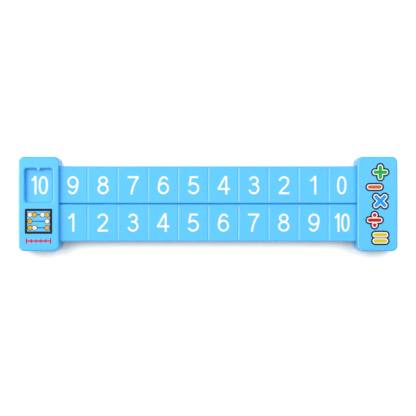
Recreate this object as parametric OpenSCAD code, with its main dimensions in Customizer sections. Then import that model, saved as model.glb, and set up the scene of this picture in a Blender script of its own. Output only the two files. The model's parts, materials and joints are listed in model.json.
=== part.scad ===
// Addition slide rule in moulded plastic.
// Two number bars lie between a pair of end caps. The lower bar is fixed in both caps.
// The upper bar slides out to the left, under a reading window in the left cap.
// The rule lies on its back: X along the rule, Y up its face, Z towards the reader, in millimetres.

/* [Number cells] */
// Length of one number cell along the rule
cell_pitch = 16; // [13:0.5:24]
// Number of cells between the caps
cell_count = 10; // [5:1:15]
// Width of the moulded groove between two cells
groove_width = 1; // [0.4:0.1:1.2]
// Depth of that groove
groove_depth = 0.3; // [0.2:0.05:0.8]
// Plain margin between a groove's ends and the bar's long edges
groove_margin = 1; // [0.6:0.1:3]

/* [Bars] */
// Height of one bar across its face
bar_height = 19.8; // [17:0.2:30]
// Thickness of a bar, front to back
bar_thickness = 8.4; // [6.4:0.1:12]
// Gap along the seam between the two bars
seam_gap = 0.4; // [0.2:0.05:0.8]
// Thickness of a bar's front skin
bar_skin = 2; // [1.2:0.1:2.8]
// Thickness of a bar's side and end walls
bar_wall = 1.6; // [1:0.1:2.2]
// Thickness of the ribs behind a bar's face
bar_rib = 1.2; // [0.8:0.1:1.8]
// Radius that rounds a bar's long front edges
bar_round = 0.6; // [0.2:0.05:0.8]

/* [Guide rail] */
// How far the fixed bar's rail reaches past the middle of the seam
rail_reach = 2; // [1:0.1:3]
// Thickness of the rail
rail_thickness = 2.2; // [1.4:0.1:2.8]

/* [End caps] */
// Width of a cap along the rule
cap_width = 21.4; // [19:0.2:32]
// How far a cap stands out past the bars' long edges
cap_border = 5; // [5:0.2:10]
// How far a cap laps over the cell next to it
cap_lap = 1.4; // [0.6:0.1:3]
// Height of a cap's face above the bars' faces
cap_rise = 3.4; // [3.2:0.2:8]
// Thickness of a shell's side walls
cap_wall = 1.8; // [1.2:0.1:2.4]
// Thickness of a shell's face
cap_roof = 2; // [1.4:0.1:2.6]
// Corner radius of a cap, seen from the front
cap_corner = 3; // [2:0.1:5]
// Fillet round the rim of a cap's face
cap_fillet = 0.9; // [0.4:0.1:1.8]
// Thickness of the ribs under a cap's face
cap_rib = 1.2; // [0.8:0.1:2]

/* [Back covers] */
// Thickness of a back cover
cover_thickness = 2; // [1.6:0.1:3]
// Fillet round the back edge of a cover
cover_fillet = 0.5; // [0.3:0.1:1.2]
// How far a cover's outline is set in from its shell
cover_inset = 0.2; // [0.1:0.05:0.6]
// Height of the lip that centres a cover in its shell
lip_height = 1.6; // [0.8:0.1:3]
// Thickness of that lip
lip_thickness = 1.2; // [0.8:0.1:1.6]

/* [Reading window] */
// Width of the cap's frame at either side of the window
window_frame = 3.35; // [3:0.05:5.5]
// How much of the slide stays hidden above and below the window
window_cover = 1.1; // [0.6:0.05:3]
// Shift of the window from the slide's middle line towards the seam
window_drop = 0.4; // [0:0.1:0.8]
// Corner radius of the window
window_corner = 1.2; // [0.6:0.1:3]
// Radius that rounds over the window's rim
window_round = 0.9; // [0.4:0.1:1.8]
// Width of the index tooth where it leaves the window's upper edge
index_width = 2.6; // [1.6:0.1:4]
// How far the index tooth reaches into the window
index_reach = 1.3; // [0.6:0.1:3]
// Depth of the index tooth, down from the cap's face
index_depth = 1.6; // [0.8:0.1:2.4]

/* [Stop peg] */
// Diameter of the peg that stops the slide
peg_diameter = 4; // [2.4:0.1:5]
// Height of the peg above the inside of the back cover
peg_height = 4; // [2:0.1:4.6]
// Clearance between the peg and the sides of its lane in the slide
lane_clearance = 0.5; // [0.2:0.1:1]

/* [Screws] */
// Diameter of a screw's shank
screw_diameter = 1.7; // [1.2:0.1:2.2]
// Length of a screw with its head
screw_length = 8; // [6:0.5:10]
// Diameter of the countersunk head
head_diameter = 3.2; // [2.6:0.1:3.6]
// Height of the countersunk head
head_height = 1; // [0.7:0.1:1.2]
// How far a head is sunk below the back of its cover
head_sink = 0.2; // [0.1:0.05:0.4]
// Width of one slot of the cross recess
recess_width = 0.45; // [0.3:0.05:0.6]
// Depth of the cross recess
recess_depth = 0.6; // [0.4:0.1:0.9]
// Diameter of the post that passes through the fixed bar
post_diameter = 5; // [4:0.1:6]
// Diameter of the boss above the slide
boss_diameter = 4.4; // [3.6:0.1:4.6]
// Wall of the sleeve round a post, behind the fixed bar's face
sleeve_wall = 1.4; // [1:0.1:2.2]

/* [Fits] */
// Clearance round the slide
run_clearance = 0.2; // [0.1:0.05:0.4]
// Clearance between pieces that are screwed together
fit_clearance = 0.15; // [0.05:0.05:0.3]
// Clearance at the ends of the bars
end_clearance = 0.3; // [0.2:0.05:0.6]
// Clearance round a screw's shank and under its head
screw_clearance = 0.05; // [0.05:0.05:0.2]
// Depth of a pilot hole past the tip of its screw
tip_clearance = 0.8; // [0.4:0.1:1.2]

/* [Hidden] */
$fn = 64;
// How far a cutter runs past the face that it cuts
overrun = 1;
bar_colour = "#6bcffc";
shell_colour = "#74d3fe";
cover_colour = "#5fc4f2";
screw_colour = "#b9bcc0";

// Places along the rule
cells_end = cell_count * cell_pitch / 2;
travel = cell_count * cell_pitch;
cap_inner = cells_end - cap_lap;
cap_outer = cap_inner + cap_width;
cap_middle = (cap_inner + cap_outer) / 2;
bar_end = cap_outer - cap_wall - end_clearance;
slide_left = -cap_outer + end_clearance;

// Places up the face
seam_edge = seam_gap / 2;
bar_edge = seam_edge + bar_height;
bar_middle = (seam_edge + bar_edge) / 2;
cap_half = bar_edge + cap_border;
post_y = -bar_middle;
boss_y = bar_edge + run_clearance + boss_diameter / 2;
screw_places = [post_y, boss_y];

// Levels, from the back up
bar_back = cover_thickness + run_clearance;
bar_face = bar_back + bar_thickness;
bar_inside = bar_face - bar_skin;
bar_mid = (bar_back + bar_face) / 2;
cap_face = bar_face + cap_rise;
roof_inside = cap_face - cap_roof;

// The rail's slot in the slide, and the lane that the stop peg runs in
slot_thickness = rail_thickness + 2 * run_clearance;
slot_bottom = rail_reach + run_clearance;
web_edge = slot_bottom + bar_wall;
lane_width = peg_diameter + 2 * lane_clearance;
lane_middle = (web_edge + bar_edge - bar_wall) / 2;
lane_end = -cap_middle + travel + peg_diameter / 2 + run_clearance;

// The window's opening
window_width = cap_width - 2 * window_frame;
window_height = bar_height - 2 * window_cover;
window_y = bar_middle - window_drop;

// Runs a profile drawn in Y and Z along the rule
module along_rule(start, end) {
    translate([start, 0, 0])
        rotate([90, 0, 90])
            linear_extrude(end - start)
                children();
}

// Box between two opposite corners
module box(low, high) {
    translate(low)
        cube(high - low);
}

module rounded_rectangle(width, height, radius) {
    square([width - 2 * radius, height], center = true);
    square([width, height - 2 * radius], center = true);
    for (x = [-1, 1], y = [-1, 1])
        translate([x * (width / 2 - radius), y * (height / 2 - radius)])
            circle(radius);
}

// Repeats a rim section round a rounded rectangle: straight along its sides and turned at its corners
module round_the_rim(width, height, radius) {
    side_x = width / 2 - radius;
    side_y = height / 2 - radius;
    for (turn = [0, 180])
        rotate(turn) {
            translate([side_x, 0, 0])
                rotate([90, 0, 0])
                    linear_extrude(2 * side_y, center = true)
                        children();
            rotate(90)
                translate([side_y, 0, 0])
                    rotate([90, 0, 0])
                        linear_extrude(2 * side_x, center = true)
                            children();
            translate([side_x, side_y, 0])
                rotate_extrude(angle = 90)
                    children();
            translate([-side_x, side_y, 0])
                rotate(90)
                    rotate_extrude(angle = 90)
                        children();
        }
}

// Block on z = 0 with rounded corners in plan and a fillet round its top
module filleted_block(width, height, depth, radius, fillet) {
    rim = min(fillet, radius - 0.1);
    round_the_rim(width, height, radius) {
        square([radius, depth - rim]);
        square([radius - rim, depth]);
        translate([radius - rim, depth - rim])
            circle(rim);
    }
    translate([0, 0, depth / 2])
        cube([width - 2 * radius, height - 2 * radius, depth], center = true);
}

// Cuts a rounded opening down through a face at z = 0, with its rim rounded over
module rounded_opening(width, height, depth, radius, rim) {
    translate([0, 0, -depth])
        linear_extrude(depth + overrun)
            rounded_rectangle(width, height, radius);
    round_the_rim(width, height, radius)
        difference() {
            translate([0, -rim])
                square([radius + rim, rim + overrun]);
            translate([radius + rim, -rim])
                circle(rim);
        }
}

// Section of a bar that lies above the seam
module bar_section() {
    translate([seam_edge, bar_back])
        square([bar_height, bar_thickness - bar_round]);
    translate([seam_edge + bar_round, bar_back])
        square([bar_height - 2 * bar_round, bar_thickness]);
    for (y = [seam_edge + bar_round, bar_edge - bar_round])
        translate([y, bar_face - bar_round])
            circle(bar_round);
}

// Grooves between the cells of a bar that lies above the seam
module divider_grooves(first, last) {
    for (i = [first : last])
        translate([i * cell_pitch - cells_end, bar_edge - groove_margin, bar_face])
            rotate([90, 0, 0])
                linear_extrude(bar_height - 2 * groove_margin)
                    polygon([[-groove_width / 2, 0], [0, -groove_depth], [groove_width / 2, 0]]);
}

// Pockets behind a bar, between two heights, one for each bay from edge to edge
module back_pockets(edges, low, high) {
    for (i = [0 : len(edges) - 2])
        box(
            [edges[i] + bar_rib / 2, low, bar_back - overrun],
            [edges[i + 1] - bar_rib / 2, high, bar_inside]
        );
}

module fixed_number_bar() {
    inner_end = bar_end - bar_wall + bar_rib / 2;
    bays = [-inner_end, for (i = [0 : cell_count]) i * cell_pitch - cells_end, inner_end];
    sleeve = post_diameter / 2 + fit_clearance + sleeve_wall;
    color(bar_colour)
        difference() {
            union() {
                difference() {
                    mirror([0, 1, 0])
                        along_rule(-bar_end, bar_end)
                            bar_section();
                    mirror([0, 1, 0]) {
                        divider_grooves(0, cell_count);
                        back_pockets(bays, seam_edge + bar_wall, bar_middle - bar_rib / 2);
                        back_pockets(bays, bar_middle + bar_rib / 2, bar_edge - bar_wall);
                    }
                }
                along_rule(-bar_end, bar_end)
                    translate([-seam_edge - bar_wall, bar_mid - rail_thickness / 2])
                        square([seam_edge + bar_wall + rail_reach, rail_thickness]);
                for (side = [-1, 1])
                    translate([side * cap_middle, post_y, bar_back])
                        cylinder(r = sleeve, h = bar_inside - bar_back);
            }
            for (side = [-1, 1])
                translate([side * cap_middle, post_y, bar_back - overrun])
                    cylinder(d = post_diameter + 2 * fit_clearance, h = bar_thickness + 2 * overrun);
        }
}

module number_slide() {
    left_end = slide_left + bar_wall - bar_rib / 2;
    right_end = bar_end - bar_wall + bar_rib / 2;
    bays = [left_end, for (i = [0 : cell_count]) i * cell_pitch - cells_end, right_end];
    lane_low = lane_middle - lane_width / 2;
    lane_high = lane_middle + lane_width / 2;
    color(bar_colour)
        difference() {
            along_rule(slide_left, bar_end)
                bar_section();
            along_rule(slide_left - overrun, bar_end + overrun)
                translate([seam_edge - overrun, bar_mid - slot_thickness / 2])
                    square([slot_bottom - seam_edge + overrun, slot_thickness]);
            divider_grooves(0, cell_count);
            back_pockets(bays, web_edge, lane_low - bar_rib);
            back_pockets(bays, lane_high + bar_rib, bar_edge - bar_wall);
            box([slide_left + bar_wall, lane_low, bar_back - overrun], [lane_end, lane_high, bar_inside]);
            box([lane_end + bar_wall, lane_low, bar_back - overrun], [bar_end - bar_wall, lane_high, bar_inside]);
        }
}

// Outside of a cap's front shell, at the right end of the rule
module shell_outside() {
    translate([cap_middle, 0, cover_thickness])
        filleted_block(cap_width, 2 * cap_half, cap_face - cover_thickness, cap_corner, cap_fillet);
}

// Pilot holes for the two screws of a cap at the right end of the rule
module pilot_holes() {
    tip = head_sink + screw_length + tip_clearance;
    for (y = screw_places)
        translate([cap_middle, y, cover_thickness - overrun])
            cylinder(d = screw_diameter + 2 * screw_clearance, h = tip - cover_thickness + overrun);
}

// Rib under a cap's face, from the roof down to a level
module roof_rib(y, level) {
    box(
        [cap_inner + cap_wall / 2, y - cap_rib / 2, level],
        [cap_outer - cap_wall / 2, y + cap_rib / 2, roof_inside + cap_roof / 2]
    );
}

// Front shell at the right end of the rule, without what only one of the caps has
module plain_shell() {
    hollow = cap_wall;
    difference() {
        shell_outside();
        translate([cap_middle, 0, cover_thickness - overrun])
            linear_extrude(roof_inside - cover_thickness + overrun)
                rounded_rectangle(
                    cap_width - 2 * hollow,
                    2 * (cap_half - hollow),
                    max(cap_corner - hollow, 0.2)
                );
        box(
            [cap_inner - overrun, -bar_edge - run_clearance, cover_thickness - overrun],
            [cap_inner + hollow + overrun, bar_edge + run_clearance, bar_face + run_clearance]
        );
    }
    for (y = [bar_edge - bar_wall, seam_edge + bar_wall])
        roof_rib(-y, bar_face);
    translate([cap_middle, post_y, cover_thickness])
        cylinder(d = post_diameter, h = roof_inside - cover_thickness + cap_roof / 2);
    intersection() {
        translate([cap_middle, boss_y, cover_thickness])
            cylinder(d = boss_diameter, h = roof_inside - cover_thickness + cap_roof / 2);
        shell_outside();
    }
}

// Back cover at the right end of the rule, without what only one of the caps has
module plain_cover() {
    outline_x = cap_width - 2 * cover_inset;
    outline_y = 2 * (cap_half - cover_inset);
    lip_x = cap_width - 2 * (cap_wall + fit_clearance);
    lip_y = 2 * (cap_half - cap_wall - fit_clearance);
    lip_corner = max(cap_corner - cap_wall - fit_clearance, 0.2);
    head_radius = head_diameter / 2 + screw_clearance;
    shank_radius = screw_diameter / 2 + screw_clearance;
    lip_gap = bar_edge + run_clearance;
    difference() {
        union() {
            translate([cap_middle, 0, cover_thickness])
                mirror([0, 0, 1])
                    filleted_block(outline_x, outline_y, cover_thickness, cap_corner - cover_inset, cover_fillet);
            difference() {
                translate([cap_middle, 0, cover_thickness / 2])
                    linear_extrude(cover_thickness / 2 + lip_height)
                        rounded_rectangle(lip_x, lip_y, lip_corner);
                box(
                    [cap_inner, lip_thickness - lip_y / 2, cover_thickness],
                    [cap_outer, lip_y / 2 - lip_thickness, cover_thickness + lip_height + overrun]
                );
                box(
                    [cap_inner, -lip_gap, cover_thickness],
                    [cap_outer, lip_gap, cover_thickness + lip_height + overrun]
                );
                translate([cap_middle, boss_y, cover_thickness])
                    cylinder(d = boss_diameter + 2 * fit_clearance, h = lip_height + overrun);
            }
            for (y = [bar_edge - bar_wall, seam_edge + bar_wall])
                box(
                    [cap_inner + cover_inset, -y - bar_wall / 2, cover_thickness / 2],
                    [bar_end, -y + bar_wall / 2, bar_back]
                );
        }
        for (y = screw_places)
            translate([cap_middle, y, 0]) {
                translate([0, 0, -overrun]) {
                    cylinder(r = shank_radius, h = cover_thickness + 2 * overrun);
                    cylinder(r = head_radius, h = head_sink + overrun);
                }
                translate([0, 0, head_sink])
                    cylinder(r1 = head_radius, r2 = shank_radius, h = head_height);
            }
    }
}

// Countersunk self-tapping screw with a cross recess, its head down at z = 0
module cover_screw() {
    difference() {
        union() {
            cylinder(d1 = head_diameter, d2 = screw_diameter, h = head_height);
            cylinder(d = screw_diameter, h = screw_length - screw_diameter);
            translate([0, 0, screw_length - screw_diameter])
                cylinder(d1 = screw_diameter, d2 = screw_diameter / 4, h = screw_diameter);
        }
        for (turn = [0, 90])
            rotate(turn)
                cube([head_diameter * 0.6, recess_width, 2 * recess_depth], center = true);
    }
}

// The two screws of a cap at the right end of the rule
module cap_screws() {
    for (y = screw_places)
        translate([cap_middle, y, head_sink])
            cover_screw();
}

module left_front_shell() {
    well_x = window_width + 2 * cap_wall;
    well_y = window_height + 2 * cap_wall;
    tooth_root = window_y + window_height / 2 + window_round;
    tooth_tip = window_y + window_height / 2 - index_reach;
    color(shell_colour) {
        difference() {
            union() {
                mirror([1, 0, 0])
                    plain_shell();
                translate([-cap_middle, window_y, bar_face + run_clearance])
                    linear_extrude(roof_inside - bar_face - run_clearance + cap_roof / 2)
                        rounded_rectangle(well_x, well_y, window_corner + cap_wall);
            }
            mirror([1, 0, 0])
                pilot_holes();
            translate([-cap_middle, window_y, cap_face])
                rounded_opening(window_width, window_height, cap_face - bar_face, window_corner, window_round);
            box(
                [-cap_outer - overrun, 0, cover_thickness - overrun],
                [-cap_outer + cap_wall + overrun, bar_edge + run_clearance, bar_face + run_clearance]
            );
        }
        translate([-cap_middle, 0, cap_face - index_depth])
            linear_extrude(index_depth)
                polygon([
                    [-index_width / 2, tooth_root],
                    [0, tooth_tip],
                    [index_width / 2, tooth_root]
                ]);
    }
}

module left_back_cover() {
    color(cover_colour) {
        mirror([1, 0, 0])
            plain_cover();
        translate([-cap_middle, lane_middle, cover_thickness / 2])
            cylinder(d = peg_diameter, h = cover_thickness / 2 + peg_height);
    }
}

module left_cover_screws() {
    color(screw_colour)
        mirror([1, 0, 0])
            cap_screws();
}

module right_front_shell() {
    color(shell_colour)
        difference() {
            union() {
                plain_shell();
                for (y = [bar_edge - bar_wall, seam_edge + bar_wall])
                    roof_rib(y, bar_face + run_clearance);
            }
            pilot_holes();
        }
}

module right_back_cover() {
    color(cover_colour)
        plain_cover();
}

module right_cover_screws() {
    color(screw_colour)
        cap_screws();
}

fixed_number_bar();
number_slide();
left_front_shell();
left_back_cover();
left_cover_screws();
right_front_shell();
right_back_cover();
right_cover_screws();
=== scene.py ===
"""Finishes, printed numbers and a studio for a moulded addition slide rule, round its frame."""

import json
import math

import bpy
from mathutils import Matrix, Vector
from mathutils.geometry import delaunay_2d_cdt


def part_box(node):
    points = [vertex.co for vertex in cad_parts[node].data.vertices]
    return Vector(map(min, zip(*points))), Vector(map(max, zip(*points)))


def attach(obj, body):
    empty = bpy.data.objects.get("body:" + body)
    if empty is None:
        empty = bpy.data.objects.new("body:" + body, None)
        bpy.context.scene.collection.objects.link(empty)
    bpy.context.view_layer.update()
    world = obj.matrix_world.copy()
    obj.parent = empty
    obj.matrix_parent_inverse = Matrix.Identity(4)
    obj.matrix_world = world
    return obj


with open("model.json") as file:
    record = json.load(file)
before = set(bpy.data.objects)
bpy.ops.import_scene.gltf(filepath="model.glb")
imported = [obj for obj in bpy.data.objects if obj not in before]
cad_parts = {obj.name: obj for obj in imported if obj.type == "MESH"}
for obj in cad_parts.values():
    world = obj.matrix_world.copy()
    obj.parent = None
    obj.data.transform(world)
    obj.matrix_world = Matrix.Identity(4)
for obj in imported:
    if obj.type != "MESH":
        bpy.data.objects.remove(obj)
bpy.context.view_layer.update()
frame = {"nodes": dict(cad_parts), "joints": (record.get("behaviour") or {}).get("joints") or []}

bl_info = {
    "name": "Addition slide rule looks",
    "version": (1, 0, 0),
    "blender": (4, 5, 0),
    "location": "View3D > Sidebar > Slide rule",
    "description": "Moulded finishes, printed numbers and a studio for an addition slide rule",
    "category": "Object",
}

MM = 0.001
NODES = frame["nodes"]
BAR_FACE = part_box("fixed_number_bar")[1].z
CAP_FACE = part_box("left_front_shell")[1].z
CELLS = 10
TRAVEL = frame["joints"][0]["range_m"][1]
PITCH = TRAVEL / CELLS
CAP_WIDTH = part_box("left_front_shell")[1].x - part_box("left_front_shell")[0].x
CAP_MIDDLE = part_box("right_front_shell")[1].x - CAP_WIDTH / 2
WHITE = (1.0, 1.0, 1.0, 1.0)

BAR_RELIEF = 0.01 * MM
CAP_RELIEF = 0.03 * MM
FACE_ROUGHNESS = 0.34
BACK_ROUGHNESS = 0.52

# Cosine between a surface and the mean of its surroundings, where it is even and where it bends.
EVEN = 0.998
BENT = 0.95
# Upward part of a normal, from a face over the rounds at its rim down to a side.
FACE_LEAN = 0.995
ROUND_LEAN = 0.94
# The next two bound the painted highlight on rounds that face left.
FULL_HIGHLIGHT_LEAN = 0.93
HIGHLIGHT_LEAN = 0.80
SHOULDER_LEAN = 0.5
SIDE_LEAN = 0.1
# Sideways part of a normal that turns to the left.
HARDLY_LEFT = -0.01
WELL_LEFT = -0.16

# Each softbox: where it stands, its width and height, in metres, and the setting of its power.
SOFTBOXES = {
    "key_softbox": ((-0.9, 0.40, 1.74), (0.9, 0.9), "key_power"),
    "fill_softbox": ((0.86, 0.38, 1.73), (0.9, 0.9), "fill_power"),
    "overhead_softbox": ((0.0, 0.0, 2.0), (0.6, 0.6), "overhead_power"),
    "left_strip": ((-1.35, 0.1, 0.95), (1.2, 1.0), "left_strip_power"),
    "back_strip": ((-0.1, 1.35, 0.95), (1.2, 0.4), "back_strip_power"),
}


def linear(hex_colour):
    """An sRGB hex colour as the linear red, green, blue and alpha that a shader takes."""
    channels = [int(hex_colour[i : i + 2], 16) / 255 for i in (1, 3, 5)]
    return (
        *(c / 12.92 if c <= 0.04045 else ((c + 0.055) / 1.055) ** 2.4 for c in channels),
        1.0,
    )


def colour_setting(name, description, hex_colour):
    """A colour that a user may change."""
    return bpy.props.FloatVectorProperty(
        name=name,
        description=description,
        subtype="COLOR",
        size=4,
        min=0.0,
        max=1.0,
        default=linear(hex_colour),
    )


def length_setting(name, description, metres):
    """A length that a user may change."""
    return bpy.props.FloatProperty(
        name=name,
        description=description,
        unit="LENGTH",
        precision=5,
        min=0.0,
        default=metres,
    )


def amount_setting(name, description, amount, unit="NONE", least=0.0):
    """A number that a user may change."""
    return bpy.props.FloatProperty(
        name=name,
        description=description,
        unit=unit,
        min=least,
        default=amount,
    )


class RulePlastic(bpy.types.PropertyGroup):
    """Colours and textures of the moulded pieces and their screws."""

    caps: colour_setting("Caps", "Sky-blue ABS of the two end caps", "#30bbff")
    bars: colour_setting("Bars", "Sky-blue ABS of the fixed bar and the slide", "#30bbff")
    covers: colour_setting("Covers", "Sky-blue ABS of the back covers", "#30bbff")
    zinc: colour_setting("Zinc", "Plating of the cover screws", "#c3c6cb")
    cap_grain: length_setting("Cap grain", "Spacing of the spark texture on the caps", 0.9 * MM)
    bar_grain: length_setting("Bar grain", "Spacing of the finer texture on the bars", 0.5 * MM)
    edge_round: length_setting(
        "Edge rounding", "How far handling has rounded sharp edges", 0.2 * MM
    )
    # Reach of the edge polish, and of the painted highlight on edges that face left.
    wear_and_highlight_reach: length_setting(
        "Edge wear", "How far the polish of hands reaches from an edge", 0.8 * MM
    )


class RuleInk(bpy.types.PropertyGroup):
    """Sizes and colours of what is printed on the rule."""

    numeral_height: length_setting("Number height", "Height of the printed numbers", 9.8 * MM)
    stroke: length_setting("Number stroke", "Width of the numbers' strokes", 1.06 * MM)
    film: length_setting("Ink film", "How far one coat of ink stands above the plastic", 0.02 * MM)
    white: colour_setting("White", "White pad-printing ink", "#fafafa")
    black: colour_setting("Black", "Black pad-printing ink", "#1d1a1c")
    cream: colour_setting("Cream", "Cream ink of the light beads", "#f6e9cf")
    amber: colour_setting("Amber", "Amber ink of the dark beads", "#e9ae22")
    red: colour_setting("Red", "Red ink of the number line and one sign", "#cf1420")
    blue: colour_setting("Blue", "Blue ink of one sign", "#1b9bf0")
    yellow: colour_setting("Yellow", "Yellow ink of one sign", "#d9c81c")
    green: colour_setting("Green", "Green ink of one sign", "#12b03c")
    orange: colour_setting("Orange", "Orange ink of one sign", "#d4641a")


class RuleStudio(bpy.types.PropertyGroup):
    """The camera's place and the light of the studio."""

    camera_height: length_setting("Camera height", "Height of the camera above the floor", 0.512)
    camera_drop: length_setting(
        "Camera drop", "How far the camera is below the rule's middle", 0.0022
    )
    lens: amount_setting("Lens", "Focal length in millimetres", 81.8, "CAMERA", 1.0)
    key_power: amount_setting("Key power", "Softbox at the left, in watts", 17.0, "POWER")
    fill_power: amount_setting("Fill power", "Softbox at the right, in watts", 11.6, "POWER")
    overhead_power: amount_setting("Overhead power", "Softbox above, in watts", 3.0, "POWER")
    left_strip_power: amount_setting(
        "Left strip power", "Low strip at the left, in watts", 6.4, "POWER"
    )
    back_strip_power: amount_setting("Back strip power", "Low strip behind, in watts", 4.0, "POWER")
    dome: amount_setting("Dome", "Strength of the light from all round", 0.20)
    floor_lift: amount_setting("Floor lift", "White that the camera sees added to the floor", 0.38)
    open_lift: amount_setting("Open lift", "White added besides where the rule is far", 0.29)


def deeper(colour, share):
    """A colour taken a share of the way to black."""
    return [channel * (1.0 - share) for channel in colour[:3]] + [1.0]


def paler(colour, share):
    """A colour taken a share of the way to white."""
    return [channel + (1.0 - channel) * share for channel in colour[:3]] + [1.0]


def add_node(tree, kind, values=None, links=None, **settings):
    """Adds a shader node with its settings, the values of its sockets and its links."""
    node = tree.nodes.new("ShaderNode" + kind)
    for name, value in settings.items():
        setattr(node, name, value)
    for socket, value in (values or {}).items():
        node.inputs[socket].default_value = value
    for socket, source in (links or {}).items():
        tree.links.new(source, node.inputs[socket])
    return node


def bare_material(name):
    """A new material with an empty tree."""
    material = bpy.data.materials.new(name)
    material.use_nodes = True
    material.node_tree.nodes.clear()
    return material, material.node_tree


def seen_rays(tree):
    """One where the camera looks, straight, by a reflection or through glass, and else nought."""
    path = add_node(tree, "LightPath")
    mirrored = add_node(
        tree,
        "Math",
        links={0: path.outputs["Is Glossy Ray"], 1: path.outputs["Is Transmission Ray"]},
        operation="MAXIMUM",
    )
    seen = add_node(
        tree,
        "Math",
        links={0: path.outputs["Is Camera Ray"], 1: mirrored.outputs["Value"]},
        operation="MAXIMUM",
    )
    return seen.outputs["Value"]


def moulded_abs(name, colour, grain, relief, roughness):
    """ABS, injection moulded in a spark-textured tool.

    To the eye: one even sky blue with a soft satin sheen, broken by a fine stipple, by faint broad
    patches where the melt flowed and cooled unevenly, and by edges that hands have smoothed. On
    edges and rounds that face left, near the face, a highlight of the light from the left is
    painted paler into the colour.
    """
    plastic = bpy.context.scene.rule_plastic
    flow_patch = 14 * MM
    flow_depth = 0.035
    pit_disorder = 0.8
    pit_strength = 0.35
    specks_from = 0.35
    specks_to = 0.70
    speck_cover = 0.30
    speck_paleness = 0.10
    sheen_spread = 0.06
    # How far the rounds are smoothed and carry the painted highlight, and how pale that painted
    # highlight is.
    round_polish_and_highlight = 0.7
    highlight_paleness = 0.50
    smoothing = 0.10
    abs_ior = 1.57
    material, tree = bare_material(name)
    place = add_node(tree, "TexCoord").outputs["Object"]

    # The pits of the texture are one grain apart. A real spark texture is about 0.1 mm fine: the
    # grain is drawn coarser so that it shows at all.
    flow = add_node(tree, "TexNoise", {"Scale": 1 / flow_patch, "Detail": 2.0}, {"Vector": place})
    pits = add_node(
        tree, "TexVoronoi", {"Scale": 1 / grain, "Randomness": pit_disorder}, {"Vector": place}
    )
    speckle = add_node(tree, "TexNoise", {"Scale": 2 / grain, "Detail": 1.0}, {"Vector": place})

    rounded = add_node(tree, "Bevel", {"Radius": plastic.edge_round}, samples=6)
    # Hands polish the sharp edges, and less so the rounds between the face and the sides, which
    # leaves them smoother. On edges and rounds that face left, near the face, a highlight of the
    # light from the left is painted paler into the colour.
    wear_and_highlight_bevel = add_node(tree, "Bevel", {"Radius": plastic.wear_and_highlight_reach}, samples=8)
    facing = add_node(tree, "NewGeometry").outputs["Normal"]
    meeting = add_node(
        tree,
        "VectorMath",
        links={0: wear_and_highlight_bevel.outputs["Normal"], 1: facing},
        operation="DOT_PRODUCT",
    )
    sharp = add_node(
        tree,
        "MapRange",
        {"From Min": EVEN, "From Max": BENT},
        {"Value": meeting.outputs["Value"]},
    )
    lean = add_node(tree, "SeparateXYZ", links={"Vector": facing}).outputs["Z"]
    below_face = add_node(
        tree,
        "MapRange",
        {"From Min": FACE_LEAN, "From Max": ROUND_LEAN, "To Max": round_polish_and_highlight},
        {"Value": lean},
    )
    above_side = add_node(
        tree, "MapRange", {"From Min": SIDE_LEAN, "From Max": SHOULDER_LEAN}, {"Value": lean}
    )
    rounds = add_node(
        tree,
        "Math",
        links={0: below_face.outputs["Result"], 1: above_side.outputs["Result"]},
        operation="MULTIPLY",
    )
    polish_and_highlight = add_node(
        tree,
        "Math",
        links={0: sharp.outputs["Result"], 1: rounds.outputs["Value"]},
        operation="MAXIMUM",
    )

    # Painted highlight: edges and rounds that face left and lie near the face, where the light from
    # the left would catch them.
    aside = add_node(tree, "SeparateXYZ", links={"Vector": wear_and_highlight_bevel.outputs["Normal"]}).outputs["X"]
    leftward = add_node(
        tree, "MapRange", {"From Min": HARDLY_LEFT, "From Max": WELL_LEFT}, {"Value": aside}
    )
    upward = add_node(
        tree, "MapRange", {"From Min": HIGHLIGHT_LEAN, "From Max": FULL_HIGHLIGHT_LEAN}, {"Value": lean}
    )
    left_rim_highlight_mask = add_node(
        tree,
        "Math",
        links={0: leftward.outputs["Result"], 1: upward.outputs["Result"]},
        operation="MULTIPLY",
    )
    painted_highlight = add_node(
        tree,
        "Math",
        links={0: polish_and_highlight.outputs["Value"], 1: left_rim_highlight_mask.outputs["Value"]},
        operation="MULTIPLY",
    )

    patches = add_node(
        tree,
        "Mix",
        {6: deeper(colour, flow_depth), 7: list(colour)},
        {0: flow.outputs["Fac"]},
        data_type="RGBA",
    )
    specks = add_node(
        tree,
        "MapRange",
        {"From Min": specks_from, "From Max": specks_to, "To Max": speck_cover},
        {"Value": speckle.outputs["Fac"]},
    )
    stippled = add_node(
        tree,
        "Mix",
        {7: paler(colour, speck_paleness)},
        {0: specks.outputs["Result"], 6: patches.outputs[2]},
        data_type="RGBA",
    )
    # Mixes the painted highlight of the light from the left into the colour.
    highlighted = add_node(
        tree,
        "Mix",
        {7: paler(colour, highlight_paleness)},
        {0: painted_highlight.outputs["Value"], 6: stippled.outputs[2]},
        data_type="RGBA",
    )
    sheen = add_node(
        tree,
        "MapRange",
        {"To Min": roughness - sheen_spread, "To Max": roughness + sheen_spread},
        {"Value": speckle.outputs["Fac"]},
    )
    smoothed = add_node(
        tree,
        "Math",
        {1: -smoothing},
        {0: polish_and_highlight.outputs["Value"], 2: sheen.outputs["Result"]},
        operation="MULTIPLY_ADD",
    )
    texture = add_node(
        tree,
        "Bump",
        {"Strength": pit_strength, "Distance": relief},
        {"Height": pits.outputs["Distance"], "Normal": rounded.outputs["Normal"]},
    )
    shader = add_node(
        tree,
        "BsdfPrincipled",
        {"IOR": abs_ior},
        {
            "Base Color": highlighted.outputs[2],
            "Roughness": smoothed.outputs["Value"],
            "Normal": texture.outputs["Normal"],
        },
    )
    add_node(tree, "OutputMaterial", links={"Surface": shader.outputs["BSDF"]})
    return material


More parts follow.
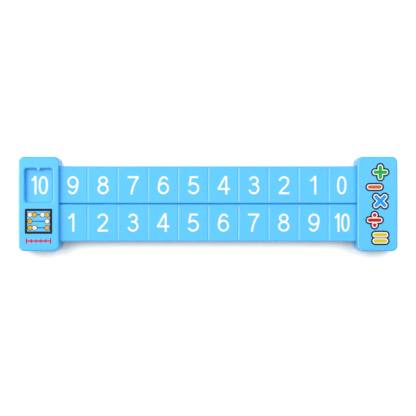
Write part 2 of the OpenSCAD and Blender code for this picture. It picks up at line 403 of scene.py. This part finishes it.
def plated_steel(name, colour):
    """Carbon steel, cold headed and plated with bright zinc.

    To the eye: a pale grey metal with a soft shine, faint cloudy patches in the plating and fine
    scratches from the bit.
    """
    cloud = 1.2 * MM
    cloud_depth = 0.2
    scratch = 0.15 * MM
    scratch_depth = 0.01 * MM
    scratch_strength = 0.2
    bright_roughness = 0.24
    dull_roughness = 0.42
    material, tree = bare_material(name)
    place = add_node(tree, "TexCoord").outputs["Object"]
    clouds = add_node(tree, "TexNoise", {"Scale": 1 / cloud, "Detail": 3.0}, {"Vector": place})
    scratches = add_node(tree, "TexNoise", {"Scale": 1 / scratch, "Detail": 2.0}, {"Vector": place})
    plating = add_node(
        tree,
        "Mix",
        {6: list(colour), 7: deeper(colour, cloud_depth)},
        {0: clouds.outputs["Fac"]},
        data_type="RGBA",
    )
    shine = add_node(
        tree,
        "MapRange",
        {"To Min": bright_roughness, "To Max": dull_roughness},
        {"Value": clouds.outputs["Fac"]},
    )
    marks = add_node(
        tree,
        "Bump",
        {"Strength": scratch_strength, "Distance": scratch_depth},
        {"Height": scratches.outputs["Fac"]},
    )
    shader = add_node(
        tree,
        "BsdfPrincipled",
        {"Metallic": 1.0},
        {
            "Base Color": plating.outputs[2],
            "Roughness": shine.outputs["Result"],
            "Normal": marks.outputs["Normal"],
        },
    )
    add_node(tree, "OutputMaterial", links={"Surface": shader.outputs["BSDF"]})
    return material


def pad_ink(name, colour):
    """Two-part ink, pad printed on the moulded plastic and dried.

    To the eye: a flat, nearly opaque film, whose matting agent takes most of the shine away and
    whose cover is very slightly uneven at the scale of the pad's own skin.
    """
    pad_skin = 0.8 * MM
    skin_depth = 0.01 * MM
    skin_strength = 0.15
    thin_depth = 0.06
    smooth_roughness = 0.42
    matt_roughness = 0.58
    ink_ior = 1.5
    matted_gloss = 0.12
    material, tree = bare_material(name)
    place = add_node(tree, "TexCoord").outputs["Object"]
    cover = add_node(tree, "TexNoise", {"Scale": 1 / pad_skin, "Detail": 2.0}, {"Vector": place})
    film = add_node(
        tree,
        "Mix",
        {6: deeper(colour, thin_depth), 7: list(colour)},
        {0: cover.outputs["Fac"]},
        data_type="RGBA",
    )
    dullness = add_node(
        tree,
        "MapRange",
        {"To Min": smooth_roughness, "To Max": matt_roughness},
        {"Value": cover.outputs["Fac"]},
    )
    skin = add_node(
        tree,
        "Bump",
        {"Strength": skin_strength, "Distance": skin_depth},
        {"Height": cover.outputs["Fac"]},
    )
    shader = add_node(
        tree,
        "BsdfPrincipled",
        {"IOR": ink_ior, "Specular IOR Level": matted_gloss},
        {
            "Base Color": film.outputs[2],
            "Roughness": dullness.outputs["Result"],
            "Normal": skin.outputs["Normal"],
        },
    )
    add_node(tree, "OutputMaterial", links={"Surface": shader.outputs["BSDF"]})
    return material


def dress(node_names, material):
    """Puts one material on CAD nodes."""
    for name in node_names:
        slots = NODES[name].data.materials
        slots.clear()
        slots.append(material)


def line(*points):
    """A straight or bent centre line through points."""
    return [Vector(point) for point in points]


def arc(middle, radii, start, end, fullness=2.0, steps=36):
    """A centre line round part of an ellipse, in degrees; a fullness above 2 squares it."""
    points = []
    for i in range(steps + 1):
        angle = math.radians(start + (end - start) * i / steps)
        across = math.copysign(abs(math.cos(angle)) ** (2 / fullness), math.cos(angle))
        up = math.copysign(abs(math.sin(angle)) ** (2 / fullness), math.sin(angle))
        points.append(Vector((middle[0] + radii[0] * across, middle[1] + radii[1] * up)))
    return points


def bend(start, first, second, end, steps=14):
    """A centre line along a cubic curve."""
    points = []
    for i in range(steps + 1):
        t = i / steps
        points.append(
            Vector(start) * (1 - t) ** 3
            + Vector(first) * 3 * t * (1 - t) ** 2
            + Vector(second) * 3 * t**2 * (1 - t)
            + Vector(end) * t**3
        )
    return points


# Centre lines of plain sans-serif numbers, one unit high with half a stroke inside the outline.
SIX = [
    arc((0.315, 0.335), (0.250, 0.270), 0, 375),
    bend((0.065, 0.335), (0.065, 0.680), (0.170, 0.935), (0.335, 0.935))
    + arc((0.335, 0.735), (0.205, 0.200), 84, 15, steps=12),
]
NUMERALS = {
    "0": [arc((0.265, 0.5), (0.200, 0.435), 0, 375, fullness=2.4, steps=60)],
    "1": [
        line((0.295, 0.0), (0.295, 1.0)),
        bend((0.275, 0.97), (0.22, 0.86), (0.13, 0.78), (0.03, 0.735)),
    ],
    "2": [
        arc((0.31, 0.715), (0.235, 0.220), 175, -25),
        bend((0.523, 0.622), (0.44, 0.40), (0.17, 0.28), (0.085, 0.065)),
        line((0.03, 0.065), (0.60, 0.065)),
    ],
    "3": [
        arc((0.29, 0.7400), (0.205, 0.1950), 170, -90),
        arc((0.29, 0.3025), (0.240, 0.2425), 90, -170),
        line((0.20, 0.545), (0.30, 0.545)),
    ],
    "4": [
        line((0.42, 0.97), (0.05, 0.319)),
        line((0.368, 0.94), (0.465, 0.94)),
        line((-0.005, 0.295), (0.66, 0.295)),
        line((0.465, 0.0), (0.465, 1.0)),
    ],
    "5": [
        line((0.105, 0.935), (0.56, 0.935)),
        line((0.17, 0.96), (0.085, 0.47)),
        arc((0.30, 0.333), (0.265, 0.268), 142, -155),
    ],
    "6": SIX,
    "7": [
        line((0.02, 0.935), (0.62, 0.935)),
        bend((0.575, 0.91), (0.40, 0.70), (0.26, 0.36), (0.225, 0.0)),
    ],
    "8": [
        arc((0.31, 0.745), (0.205, 0.190), 0, 375),
        arc((0.31, 0.300), (0.250, 0.235), 0, 375),
    ],
    "9": [[Vector((0.63 - p.x, 1.0 - p.y)) for p in part] for part in SIX],
    "10": [
        line((0.242, 0.0), (0.242, 1.0)),
        bend((0.222, 0.97), (0.18, 0.87), (0.10, 0.80), (0.02, 0.755)),
        arc((0.69, 0.5), (0.2075, 0.435), 0, 375, fullness=2.4, steps=60),
    ],
}


def numeral_lines(text, middle, height, narrowing):
    """Centre lines of a number set round a middle point."""
    parts = NUMERALS[text]
    reach = [p.x for part in parts for p in part]
    centre = Vector(((min(reach) + max(reach)) / 2, 0.5))
    return [
        [
            Vector(middle) + Vector(((p.x - centre.x) * narrowing, p.y - centre.y)) * height
            for p in part
        ]
        for part in parts
    ]


def ribbon(points, width):
    """Counter-clockwise quads that follow a centre line at one width."""
    sides = []
    last = len(points) - 1
    for i, point in enumerate(points):
        along = points[min(i + 1, last)] - points[max(i - 1, 0)]
        along.normalize()
        across = Vector((-along.y, along.x)) * (width / 2)
        sides.append((point + across, point - across))
    return [[sides[i][1], sides[i + 1][1], sides[i + 1][0], sides[i][0]] for i in range(last)]


def disc(middle, radius, steps=24):
    """A counter-clockwise round polygon."""
    return [
        Vector(
            (
                middle[0] + radius * math.cos(2 * math.pi * i / steps),
                middle[1] + radius * math.sin(2 * math.pi * i / steps),
            )
        )
        for i in range(steps)
    ]


def round_bar(start, end, width, steps=12):
    """A counter-clockwise straight bar with round ends."""
    ahead = math.atan2(end.y - start.y, end.x - start.x)
    rim = []
    for middle, first in ((end, ahead - math.pi / 2), (start, ahead + math.pi / 2)):
        for i in range(steps + 1):
            angle = first + math.pi * i / steps
            rim.append(middle + Vector((math.cos(angle), math.sin(angle))) * (width / 2))
    return rim


def print_film(name, polygons, face, coat, body, material):
    """Prints polygons as one closed film of ink, its coat counted from the plastic up."""
    # The polygons are joined in millimetres. True asks which polygons each triangle comes from.
    scale = 1 / MM
    same_point = 1e-5
    whole_hull = 0
    points = []
    faces = []
    for polygon in polygons:
        faces.append(list(range(len(points), len(points) + len(polygon))))
        points += [Vector((p.x * scale, p.y * scale)) for p in polygon]
    flat, _, cells, _, _, sources = delaunay_2d_cdt(
        points, [], faces, whole_hull, same_point, True
    )
    inked = [cell for cell, source in zip(cells, sources) if source]

    film = bpy.context.scene.rule_ink.film
    low = face - film / 2
    high = face + film * coat
    used = sorted({i for cell in inked for i in cell})
    place = {index: n for n, index in enumerate(used)}
    count = len(used)
    edges = {(cell[i - 1], cell[i]) for cell in inked for i in range(len(cell))}
    rim = sorted(edge for edge in edges if edge[::-1] not in edges)
    vertices = [(flat[i].x * MM, flat[i].y * MM, z) for z in (low, high) for i in used]
    top = [[place[i] + count for i in cell] for cell in inked]
    bottom = [[place[i] for i in reversed(cell)] for cell in inked]
    walls = [[place[a], place[b], place[b] + count, place[a] + count] for a, b in rim]

    mesh = bpy.data.meshes.new(name)
    mesh.from_pydata(vertices, [], top + bottom + walls)
    mesh.materials.append(material)
    mesh.validate()
    piece = bpy.data.objects.new(name, mesh)
    bpy.context.scene.collection.objects.link(piece)
    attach(piece, body)
    return piece


def ink(colour_name):
    """The material of one of the inks, made the first time that it is asked for."""
    name = colour_name + "_pad_ink"
    made = bpy.data.materials.get(name)
    return made or pad_ink(name, getattr(bpy.context.scene.rule_ink, colour_name))


def cell_middle(cell):
    """Middle of a cell along the rule, counted from the left cap."""
    return (cell + 0.5 - CELLS / 2) * PITCH


def print_numbers(name, row, face, body):
    """Prints a row of numbers, each given as text, middle and narrowing."""
    setting = bpy.context.scene.rule_ink
    polygons = []
    for text, middle, narrowing in row:
        for part in numeral_lines(text, middle, setting.numeral_height, narrowing):
            polygons += ribbon(part, setting.stroke)
    print_film(name, polygons, face, 1, body, ink("white"))


class FinishBars(bpy.types.Operator):
    """Give the fixed bar and the slide their satin moulded plastic."""

    bl_idname = "slide_rule.finish_bars"
    bl_label = "Finish bars"

    def execute(self, context):
        plastic = context.scene.rule_plastic
        satin = moulded_abs(
            "satin_moulded_abs", plastic.bars, plastic.bar_grain, BAR_RELIEF, FACE_ROUGHNESS
        )
        dress(["fixed_number_bar", "number_slide"], satin)
        return {"FINISHED"}


class FinishCaps(bpy.types.Operator):
    """Give the two front shells their spark-textured plastic."""

    bl_idname = "slide_rule.finish_caps"
    bl_label = "Finish caps"

    def execute(self, context):
        plastic = context.scene.rule_plastic
        textured = moulded_abs(
            "spark_textured_abs", plastic.caps, plastic.cap_grain, CAP_RELIEF, FACE_ROUGHNESS
        )
        dress(["left_front_shell", "right_front_shell"], textured)
        return {"FINISHED"}


class FinishCovers(bpy.types.Operator):
    """Give the back covers their moulded plastic and their screws the plating."""

    bl_idname = "slide_rule.finish_covers"
    bl_label = "Finish covers and screws"

    def execute(self, context):
        plastic = context.scene.rule_plastic
        backs = moulded_abs(
            "desk_side_moulded_abs", plastic.covers, plastic.cap_grain, CAP_RELIEF, BACK_ROUGHNESS
        )
        dress(["left_back_cover", "right_back_cover"], backs)
        dress(
            ["left_cover_screws", "right_cover_screws"],
            plated_steel("zinc_plated_steel", plastic.zinc),
        )
        return {"FINISHED"}


class PrintSlideNumbers(bpy.types.Operator):
    """Print ten to nought along the slide; the ten lies under the window at rest."""

    bl_idname = "slide_rule.print_slide_numbers"
    bl_label = "Print slide numbers"

    def execute(self, context):
        # The print lies a little to the right in its cells, and to the left under the window and in
        # the last two.
        level = 9.9 * MM
        drift = 0.35 * MM
        ten_drift = -0.2 * MM
        one_drift = -0.4 * MM
        nought_drift = -1.05 * MM
        ten_narrowing = 0.94
        row = [("10", (-CAP_MIDDLE + ten_drift, level), ten_narrowing)]
        row += [
            (str(CELLS - 1 - i), (cell_middle(i) + drift, level), 1.0) for i in range(CELLS - 2)
        ]
        row.append(("1", (cell_middle(CELLS - 2) + one_drift, level), 1.0))
        row.append(("0", (cell_middle(CELLS - 1) + nought_drift, level), 1.0))
        print_numbers("slide_numbers", row, BAR_FACE, "slide")
        return {"FINISHED"}


class PrintBarNumbers(bpy.types.Operator):
    """Print one to ten along the fixed bar."""

    bl_idname = "slide_rule.print_bar_numbers"
    bl_label = "Print bar numbers"

    def execute(self, context):
        # The print lies a little to the right in its cells, and to the left in the first and last.
        level = -9.95 * MM
        drift = 0.2 * MM
        one_drift = -0.75 * MM
        ten_drift = -1.0 * MM
        ten_narrowing = 0.83
        row = [("1", (cell_middle(0) + one_drift, level), 1.0)]
        row += [(str(i + 1), (cell_middle(i) + drift, level), 1.0) for i in range(1, CELLS - 1)]
        row.append(("10", (cell_middle(CELLS - 1) + ten_drift, level), ten_narrowing))
        print_numbers("bar_numbers", row, BAR_FACE, "stock")
        return {"FINISHED"}


class PrintAbacus(bpy.types.Operator):
    """Print a small counting frame over a number line on the left cap."""

    bl_idname = "slide_rule.print_abacus"
    bl_label = "Print counting frame"

    def execute(self, context):
        middle = Vector((-CAP_MIDDLE, -9.2 * MM))
        half_width = 6.6 * MM
        half_height = 6.0 * MM
        bar = 1.3 * MM
        wire = 0.45 * MM
        wire_gap = 3.45 * MM
        bead = 1.15 * MM
        outline = 0.3 * MM
        first = half_width - 2.05 * MM
        step = 2.5 * MM
        counts = (4, 2, 3)
        corners = [
            middle + Vector((x * half_width, y * half_height))
            for x, y in ((-1, -1), (1, -1), (1, 1), (-1, 1))
        ]
        black = []
        for i, corner in enumerate(corners):
            black += ribbon([corners[i - 1], corner], bar)
            black.append(disc(corner, bar / 2))
        beads = {"cream": [], "amber": []}
        for row, counted in enumerate(counts):
            y = middle.y + (1 - row) * wire_gap
            start = Vector((middle.x - half_width, y))
            end = Vector((middle.x + half_width, y))
            black += ribbon([start, end], wire)
            for i in range(counted):
                x = middle.x + first - i * step
                if i >= counted // 2:
                    x -= 2 * first - (counted - 1) * step
                colour = "cream" if (i + row) % 2 else "amber"
                beads[colour].append(disc((x, y), bead))
                black.append(disc((x, y), bead + outline))
        print_film("abacus_black", black, CAP_FACE, 1, "stock", ink("black"))
        for colour, discs in beads.items():
            print_film("abacus_" + colour, discs, CAP_FACE, 2, "stock", ink(colour))

        level = -19.6 * MM
        reach = 6.4 * MM
        line_width = 0.8 * MM
        tick_width = 0.7 * MM
        tick = 1.0 * MM
        end_tick = 1.5 * MM
        spaces = 5
        ticks = ribbon(
            [Vector((middle.x - reach, level)), Vector((middle.x + reach, level))], line_width
        )
        for i in range(spaces + 1):
            x = middle.x + (i / spaces * 2 - 1) * reach
            rise = end_tick if i % spaces == 0 else tick
            ticks += ribbon([Vector((x, level - rise)), Vector((x, level + rise))], tick_width)
        print_film("number_line", ticks, CAP_FACE, 1, "stock", ink("red"))
        return {"FINISHED"}


class PrintSigns(bpy.types.Operator):
    """Print the five signs of arithmetic in a zigzag on the right cap."""

    bl_idname = "slide_rule.print_signs"
    bl_label = "Print signs"

    def execute(self, context):
        arm = 2.7 * MM
        bar = 1.8 * MM
        white_edge = 0.5 * MM
        dark_edge = 1.35 * MM
        gap = 0.6 * MM
        zigzag = 1.5 * MM
        top = 21.6 * MM
        dot_swell = 0.1 * MM
        dot_reach = 0.98
        twin_reach = 0.6
        slant = 0.85
        side = Vector((arm, 0.0))
        rise = Vector((0.0, arm))
        dot = Vector((0.0, arm * dot_reach))
        twin = Vector((0.0, arm * twin_reach))
        slope = Vector((arm, arm)) * slant
        fall = Vector((slope.x, -slope.y))
        signs = {
            "green": [(-side, side), (-rise, rise)],
            "orange": [(-side, side)],
            "blue": [(-slope, slope), (-fall, fall)],
            "red": [(-side, side), (dot, dot), (-dot, -dot)],
            "yellow": [(-side + twin, side + twin), (-side - twin, side - twin)],
        }
        dark = []
        white = []
        for i, (colour, strokes) in enumerate(signs.items()):
            half = max(abs(point.y) for stroke in strokes for point in stroke)
            half += bar / 2 + dark_edge
            spot = Vector((CAP_MIDDLE + zigzag * (-1) ** i, top - half))
            top -= 2 * half + gap
            coloured = []
            for start, end in strokes:
                for polygons, grow in ((dark, dark_edge), (white, white_edge), (coloured, 0.0)):
                    if start == end:
                        polygons.append(disc(spot + start, bar / 2 + grow + dot_swell))
                    else:
                        polygons.append(round_bar(spot + start, spot + end, bar + 2 * grow))
            print_film("sign_" + colour, coloured, CAP_FACE, 3, "stock", ink(colour))
        print_film("signs_dark_edge", dark, CAP_FACE, 1, "stock", ink("black"))
        print_film("signs_white_edge", white, CAP_FACE, 2, "stock", ink("white"))
        return {"FINISHED"}


class SetStudio(bpy.types.Operator):
    """Set the white floor, the soft light and the camera over the rule."""

    bl_idname = "slide_rule.set_studio"
    bl_label = "Set studio"

    def execute(self, context):
        scene = context.scene
        studio = scene.rule_studio
        full_frame = 36.0
        floor_reach = 2.0
        floor_level = -0.02 * MM
        scene.view_settings.view_transform = "Standard"

        lens = bpy.data.cameras.new("overhead_camera")
        lens.lens = studio.lens
        lens.sensor_width = full_frame
        camera = bpy.data.objects.new("overhead_camera", lens)
        camera.location = (0.0, -studio.camera_drop, studio.camera_height)
        scene.collection.objects.link(camera)
        scene.camera = camera

        for name, (place, sides, power) in SOFTBOXES.items():
            self.softbox(name, place, sides, getattr(studio, power))

        world = bpy.data.worlds.new("white_studio")
        world.use_nodes = True
        tree = world.node_tree
        tree.nodes.clear()
        strength = add_node(
            tree,
            "MapRange",
            {"To Min": studio.dome, "To Max": 1.0},
            {"Value": seen_rays(tree)},
        )
        sky = add_node(
            tree,
            "Background",
            {"Color": WHITE},
            {"Strength": strength.outputs["Result"]},
        )
        add_node(tree, "OutputWorld", links={"Surface": sky.outputs["Background"]})
        scene.world = world

        corners = [
            (x * floor_reach, y * floor_reach, floor_level)
            for x, y in ((-1, -1), (1, -1), (1, 1), (-1, 1))
        ]
        mesh = bpy.data.meshes.new("studio_floor")
        mesh.from_pydata(corners, [], [(0, 1, 2, 3)])
        floor = bpy.data.objects.new("studio_floor", mesh)
        scene.collection.objects.link(floor)
        mesh.materials.append(self.paper(studio))
        return {"FINISHED"}

    def softbox(self, name, place, sides, power):
        """A softbox that faces the rule."""
        lamp = bpy.data.lights.new(name, "AREA")
        lamp.shape = "RECTANGLE"
        lamp.size, lamp.size_y = sides
        lamp.energy = power
        softbox = bpy.data.objects.new(name, lamp)
        softbox.location = place
        softbox.rotation_mode = "QUATERNION"
        softbox.rotation_quaternion = (-softbox.location).to_track_quat("-Z", "Y")
        bpy.context.scene.collection.objects.link(softbox)

    def paper(self, studio):
        """Coated background paper: white and matt; the camera sees it lifted to white."""
        paper_white = linear("#dcdcdc")
        paper_roughness = 0.8
        shadow_reach = 30 * MM
        tilt_back = 0.6
        tilt_up = 0.8
        # How open the paper is, from where the rule touches it to where it lies clear.
        touching = 0.33
        close = 0.41
        apart = 0.56
        clear = 0.68
        material, tree = bare_material("white_background_paper")
        # The lift fades where the rule stands close behind the paper, so a shadow stays in front.
        backwards = add_node(tree, "CombineXYZ", {"Y": tilt_back, "Z": tilt_up})
        openness = add_node(
            tree,
            "AmbientOcclusion",
            {"Distance": shadow_reach},
            {"Normal": backwards.outputs["Vector"]},
            samples=8,
        )
        near = add_node(
            tree,
            "MapRange",
            {"From Min": touching, "From Max": close, "To Max": studio.floor_lift},
            {"Value": openness.outputs["AO"]},
        )
        far = add_node(
            tree,
            "MapRange",
            {"From Min": apart, "From Max": clear, "To Max": studio.open_lift},
            {"Value": openness.outputs["AO"]},
        )
        lift = add_node(
            tree,
            "Math",
            links={0: near.outputs["Result"], 1: far.outputs["Result"]},
            operation="ADD",
        )
        added = add_node(
            tree,
            "Math",
            links={0: seen_rays(tree), 1: lift.outputs["Value"]},
            operation="MULTIPLY",
        )
        shader = add_node(
            tree,
            "BsdfPrincipled",
            {
                "Base Color": paper_white,
                "Roughness": paper_roughness,
                "Emission Color": WHITE,
            },
            {"Emission Strength": added.outputs["Value"]},
        )
        add_node(tree, "OutputMaterial", links={"Surface": shader.outputs["BSDF"]})
        return material


OPERATORS = (
    FinishBars,
    FinishCaps,
    FinishCovers,
    PrintSlideNumbers,
    PrintBarNumbers,
    PrintAbacus,
    PrintSigns,
    SetStudio,
)
SETTINGS = {
    "rule_plastic": RulePlastic,
    "rule_ink": RuleInk,
    "rule_studio": RuleStudio,
}


class SlideRulePanel(bpy.types.Panel):
    """Lists the steps and settings of the slide rule's looks."""

    bl_idname = "VIEW3D_PT_slide_rule"
    bl_label = "Slide rule"
    bl_space_type = "VIEW_3D"
    bl_region_type = "UI"
    bl_category = "Slide rule"

    def draw(self, context):
        for operator in OPERATORS:
            self.layout.operator(operator.bl_idname)
        for name, group in SETTINGS.items():
            column = self.layout.column()
            for setting in group.__annotations__:
                column.prop(getattr(context.scene, name), setting)


CLASSES = (*SETTINGS.values(), *OPERATORS, SlideRulePanel)


def register():
    """Registers the classes and hangs their settings on the scene."""
    for cls in CLASSES:
        bpy.utils.register_class(cls)
    for name, group in SETTINGS.items():
        setattr(bpy.types.Scene, name, bpy.props.PointerProperty(type=group))


def unregister():
    """Takes the settings and the classes away again."""
    for name in SETTINGS:
        delattr(bpy.types.Scene, name)
    for cls in reversed(CLASSES):
        bpy.utils.unregister_class(cls)


def main():
    """Dresses the frame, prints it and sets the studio."""
    register()
    bpy.ops.slide_rule.finish_bars()
    bpy.ops.slide_rule.finish_caps()
    bpy.ops.slide_rule.finish_covers()
    bpy.ops.slide_rule.print_slide_numbers()
    bpy.ops.slide_rule.print_bar_numbers()
    bpy.ops.slide_rule.print_abacus()
    bpy.ops.slide_rule.print_signs()
    bpy.ops.slide_rule.set_studio()
    bpy.context.view_layer.update()


if __name__ == "__main__":
    main()
